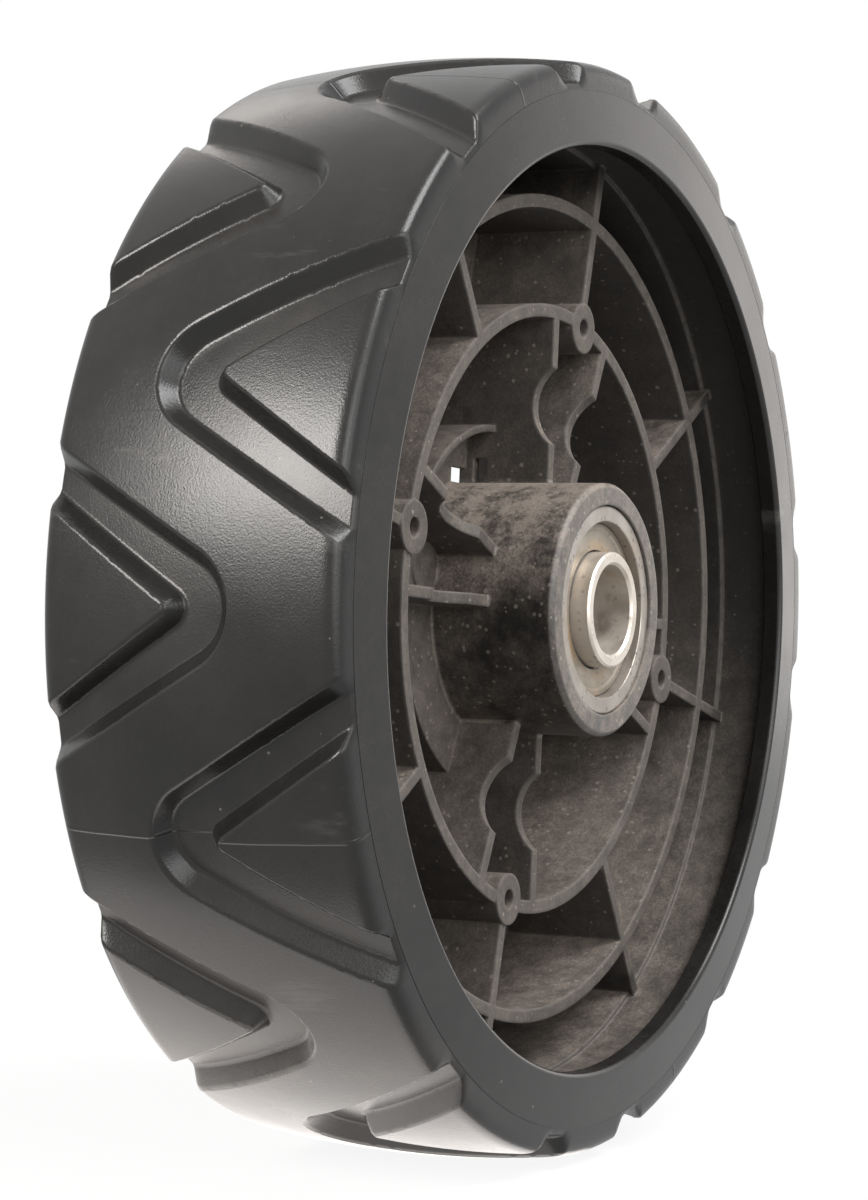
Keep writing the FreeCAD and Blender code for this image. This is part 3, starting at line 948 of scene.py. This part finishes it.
@dataclass
class Bearing:
    """One sealed ball bearing with a proud inner ring: rings and outer shield redrawn with real edges."""

    side: Side
    ring: bpy.types.Material
    sleeve: bpy.types.Material
    shield: bpy.types.Material
    cage: bpy.types.Material
    ball: bpy.types.Material
    centre: float = 20.8
    width: float = 11.0
    outside: float = 17.5
    land: float = 14.0
    sleeve_radius: float = 9.65
    bore: float = 7.5
    proud: float = 1.5
    shield_inset: float = 1.7
    shield_thickness: float = 0.4
    shield_gap: float = 0.3
    columns: int = 192

    def turned(self, outline: list[tuple[float, float, float]], name: str) -> bpy.types.Object:
        """Revolves a section drawn for the outboard side, mirrored for the inboard one.

        Args:
            outline: Y outwards from the middle of the bearing, radius and corner radius.
            name: Name of the new piece.

        Returns:
            The ring.
        """
        sign = self.side.value
        placed = [((self.centre + along) * sign, radius, bend) for along, radius, bend in outline]
        if sign < 0:
            placed.reverse()
        return Outline.rounded(placed, 5).revolve(name, self.columns)

    def build_ring(self) -> bpy.types.Object:
        """The outer ring: ground faces, rounded corners and a step for the shield."""
        end, seat = self.width / 2, self.land + 0.5
        step = end - self.shield_inset
        section = [
            (-end, self.outside, 0.5),
            (end, self.outside, 0.5),
            (end, seat + 0.25, 0.25),
            (step, seat, 0.1),
            (step - self.shield_thickness, seat, 0.05),
            (step - self.shield_thickness, self.land, 0.1),
            (-end, self.land, 0.2),
        ]
        return self.turned(section, f"{self.side.label}_ring_face")

    def build_sleeve(self) -> bpy.types.Object:
        """The inner ring that runs on as a sleeve, with a chamfer round its bore and its end."""
        end = self.width / 2
        tip = end + self.proud
        section = [
            (-end, self.sleeve_radius, 0.3),
            (tip - 0.35, self.sleeve_radius, 0.15),
            (tip, self.sleeve_radius - 0.35, 0.15),
            (tip, self.bore + 0.45, 0.15),
            (tip - 0.45, self.bore, 0.15),
            (-end, self.bore, 0.2),
        ]
        return self.turned(section, f"{self.side.label}_sleeve")

    def build_shield(self) -> bpy.types.Object:
        """The outer shield: a pressed disc with a curled rim, dished towards the sleeve."""
        face = self.width / 2 - self.shield_inset
        back = face - self.shield_thickness
        rim, eye = self.land + 0.45, self.sleeve_radius + self.shield_gap
        section = [
            (back, rim, 0.08),
            (face, rim, 0.12),
            (face, rim - 0.9, 0.15),
            (face - 0.22, rim - 1.3, 0.2),
            (face - 0.3, eye, 0.08),
            (back - 0.02, eye, 0.05),
        ]
        return self.turned(section, f"{self.side.label}_shield")

    def build(self) -> list[bpy.types.Object]:
        """Builds and dresses the bearing.

        Returns:
            Its new pieces.
        """
        label = self.side.label
        outer_face = "front" if self.side is Side.INBOARD else "back"
        inner_face = "back" if self.side is Side.INBOARD else "front"
        made = [
            (self.build_ring(), self.ring, Body.WHEEL, f"{label}_outer_ring", "bearing"),
            (self.build_sleeve(), self.sleeve, Body.SLEEVE, f"{label}_inner_ring", "sleeve"),
            (self.build_shield(), self.shield, Body.WHEEL, f"{label}_{outer_face}_shield", "shield"),
        ]
        for piece, material, body, node, slot in made:
            piece.data.materials.append(material)
            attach(piece, body.value)
            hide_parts(node)
        dress(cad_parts[f"{label}_{inner_face}_shield"], self.shield)
        dress(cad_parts[f"{label}_cage"], self.cage)
        for name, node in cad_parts.items():
            if name.startswith(f"{label}_ball_"):
                dress(node, self.ball)
        return [row[0] for row in made]


# Studio


@dataclass(frozen=True)
class Softbox:
    """One square soft lamp that faces a point, as a rule the middle of the wheel."""

    name: str
    place: tuple[float, float, float]
    size: float
    watts: float
    tint: Colour = (1.0, 1.0, 1.0)
    aim: tuple[float, float, float] = (0.0, 0.0, 0.0)

    def build(self) -> None:
        """Adds the lamp to the scene."""
        lamp = bpy.data.lights.new(self.name, "AREA")
        lamp.shape = "SQUARE"
        lamp.size = self.size
        lamp.energy = self.watts
        lamp.color = self.tint
        holder = add_object(self.name, lamp)
        holder.visible_camera = False
        holder.location = self.place
        holder.rotation_mode = "QUATERNION"
        holder.rotation_quaternion = (Vector(self.place) - Vector(self.aim)).to_track_quat("Z", "Y")


@dataclass(frozen=True)
class Viewpoint:
    """The camera: level with the hub, turned to show tread and inboard face together."""

    azimuth: float = -62.38
    roll: float = 1.08
    distance: float = 576.7
    shift_right: float = -28.16
    shift_up: float = 1.63
    focal_pixels: float = 3459.0
    image_height: int = 1200
    face_y: float = -25.85

    def build(self) -> None:
        """Adds the camera and makes it the scene's own.

        The view axis leaves the wheel at the azimuth, level with its centre, and the picture is
        rolled about that axis.
        """
        turn, roll = math.radians(self.azimuth), math.radians(self.roll)
        back = Vector((math.sin(turn), -math.cos(turn), 0))
        level_right = Vector((math.cos(turn), math.sin(turn), 0))
        level_up = back.cross(level_right)
        right = level_right * math.cos(roll) + level_up * math.sin(roll)
        up = level_up * math.cos(roll) - level_right * math.sin(roll)
        middle = Vector((0, self.face_y, 0)) + right * self.shift_right + up * self.shift_up
        place = (middle + back * self.distance) * MM
        camera = bpy.data.cameras.new("camera")
        camera.sensor_width = 36.0
        camera.lens = camera.sensor_width * self.focal_pixels / self.image_height
        camera.clip_start = 0.01
        holder = add_object("camera", camera)
        turned = Matrix((right, up, back)).transposed().to_4x4()
        holder.matrix_world = Matrix.Translation(place) @ turned
        bpy.context.scene.camera = holder


@dataclass(frozen=True)
class Studio:
    """A white floor and surround with soft lamps."""

    lamps: tuple[Softbox, ...]
    surround: float = 0.13
    floor_gap: float = 0.1
    floor_size: float = 6000.0
    floor_white: float = 0.85
    floor_dim: float = 0.22
    shadow: float = 0.1
    near: float = 100.0
    far: float = 300.0

    def seen(self, graph: Graph, straight: object) -> Socket:
        """How much of the plain white background a ray sees: all of it in gloss.

        Args:
            graph: Graph of the world or the floor.
            straight: Share that the camera sees, also through clear things.

        Returns:
            The share for the ray in hand.
        """
        path = graph.add("LightPath")
        looking = graph.math("MAXIMUM", path.outputs["Is Camera Ray"], path.outputs["Is Transmission Ray"])
        return graph.math("MAXIMUM", graph.times(looking, straight), path.outputs["Is Glossy Ray"])

    def build_surround(self) -> None:
        """The world: a dim soft light that shows as white behind the wheel."""
        world = bpy.data.worlds.new("surround")
        world.use_nodes = True
        graph = Graph(world.node_tree)
        strength = graph.between(self.seen(graph, 1.0), self.surround, 1.0)
        background = world.node_tree.nodes["Background"]
        background.inputs["Color"].default_value = (1, 1, 1, 1)
        graph.tree.links.new(strength, background.inputs["Strength"])
        bpy.context.scene.world = world

    def build_floor(self) -> None:
        """A flat pale floor just under the tread that shows white, with a faint shadow near the wheel."""
        reach = self.floor_size / 2 * MM
        level = CAD_BOX[0][2] - self.floor_gap * MM
        mesh = bpy.data.meshes.new("floor")
        signs = ((-1, -1), (1, -1), (1, 1), (-1, 1))
        corners = [(right * reach, deep * reach, level) for right, deep in signs]
        mesh.from_pydata(corners, [], [(0, 1, 2, 3)])
        floor = add_object("floor", mesh)
        material, graph, plain = open_material("floor")
        graph.tree.nodes.remove(plain)
        straight = graph.add("LightPath").outputs["Is Camera Ray"]
        tone = graph.between(straight, self.floor_dim, self.floor_white)
        matt = graph.add("BsdfDiffuse", {"Color": tone})
        white = graph.add("Emission", {"Color": (1, 1, 1, 1), "Strength": 1.0})
        distance = graph.add("VectorMath", {0: graph.place()}, operation="LENGTH").outputs["Value"]
        away = graph.spread(distance, self.near * MM, self.far * MM)
        share = self.seen(graph, graph.between(away, 1.0 - self.shadow, 1.0))
        mixed = graph.add("MixShader", {0: share, 1: matt.outputs[0], 2: white.outputs[0]})
        graph.tree.links.new(mixed.outputs[0], graph.tree.nodes["Material Output"].inputs["Surface"])
        mesh.materials.append(material)

    def build(self) -> None:
        """Sets up the whole studio."""
        bpy.context.scene.view_settings.view_transform = "Standard"
        self.build_surround()
        self.build_floor()
        for lamp in self.lamps:
            lamp.build()
        Viewpoint().build()


def main() -> None:
    """Builds and dresses the wheel, then sets up the studio."""
    logging.basicConfig(level=logging.INFO, format="%(name)s: %(message)s")
    EffectMaker().build()
    steel = SteelFinish("bearing_steel").build()
    sleeve = SteelFinish("sleeve_steel", colour=(0.64, 0.585, 0.52), haze=(0.46, 0.415, 0.365), stained=0.75,
                         grimy=0.55, smooth=0.36, dull=0.6).build()
    shield = SteelFinish("shield_steel", colour=(0.36, 0.315, 0.26), haze=(0.26, 0.225, 0.182), stained=0.75,
                         stain_radius=10.8, grimy=1.0, smooth=0.36, dull=0.6).build()
    cage = SteelFinish("cage_steel", colour=(0.45, 0.44, 0.42), stained=0.1).build()
    ball = SteelFinish("ball_steel", colour=(0.70, 0.70, 0.70), stained=0.0, grimy=0.1, smooth=0.12,
                       dull=0.2).build()
    side_rubber = RubberFinish("sidewall_rubber", False, pebble=0.1, dusty=0.1)
    pieces = Tyre(RubberFinish("tread_rubber", True), side_rubber).build()
    pieces += Rim(PlasticFinish("rim_plastic")).build()
    for side in Side:
        pieces += Bearing(side, steel, sleeve, shield, cage, ball).build()
    dress(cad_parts["spacer"], sleeve)
    for piece in pieces:
        LOG.info("%s: %d faces", piece.name, len(piece.data.polygons))
    Studio((
        Softbox("key", (-1.03, 0.37, 0.50), 0.52, 24.0, (1.0, 0.965, 0.93)),
        Softbox("back", (0.68, 0.80, 0.92), 0.35, 0.8, (1.0, 0.92, 0.86)),
        Softbox("top", (0.05, -0.85, 1.25), 0.8, 28.0),
        Softbox("left", (-0.95, -1.15, 0.6), 0.9, 10.0),
        Softbox("front", (-0.3, -1.6, 0.2), 1.5, 18.0),
        Softbox("right", (1.4, -0.3, 0.24), 0.66, 1.6, (1.0, 0.93, 0.88)),
        Softbox("table", (-0.05, 0.03, -0.0922), 0.11, 0.08, (1.0, 0.93, 0.88), (-0.05, 0.03, 0.0)),
    )).build()


if __name__ == "__main__":
    main()
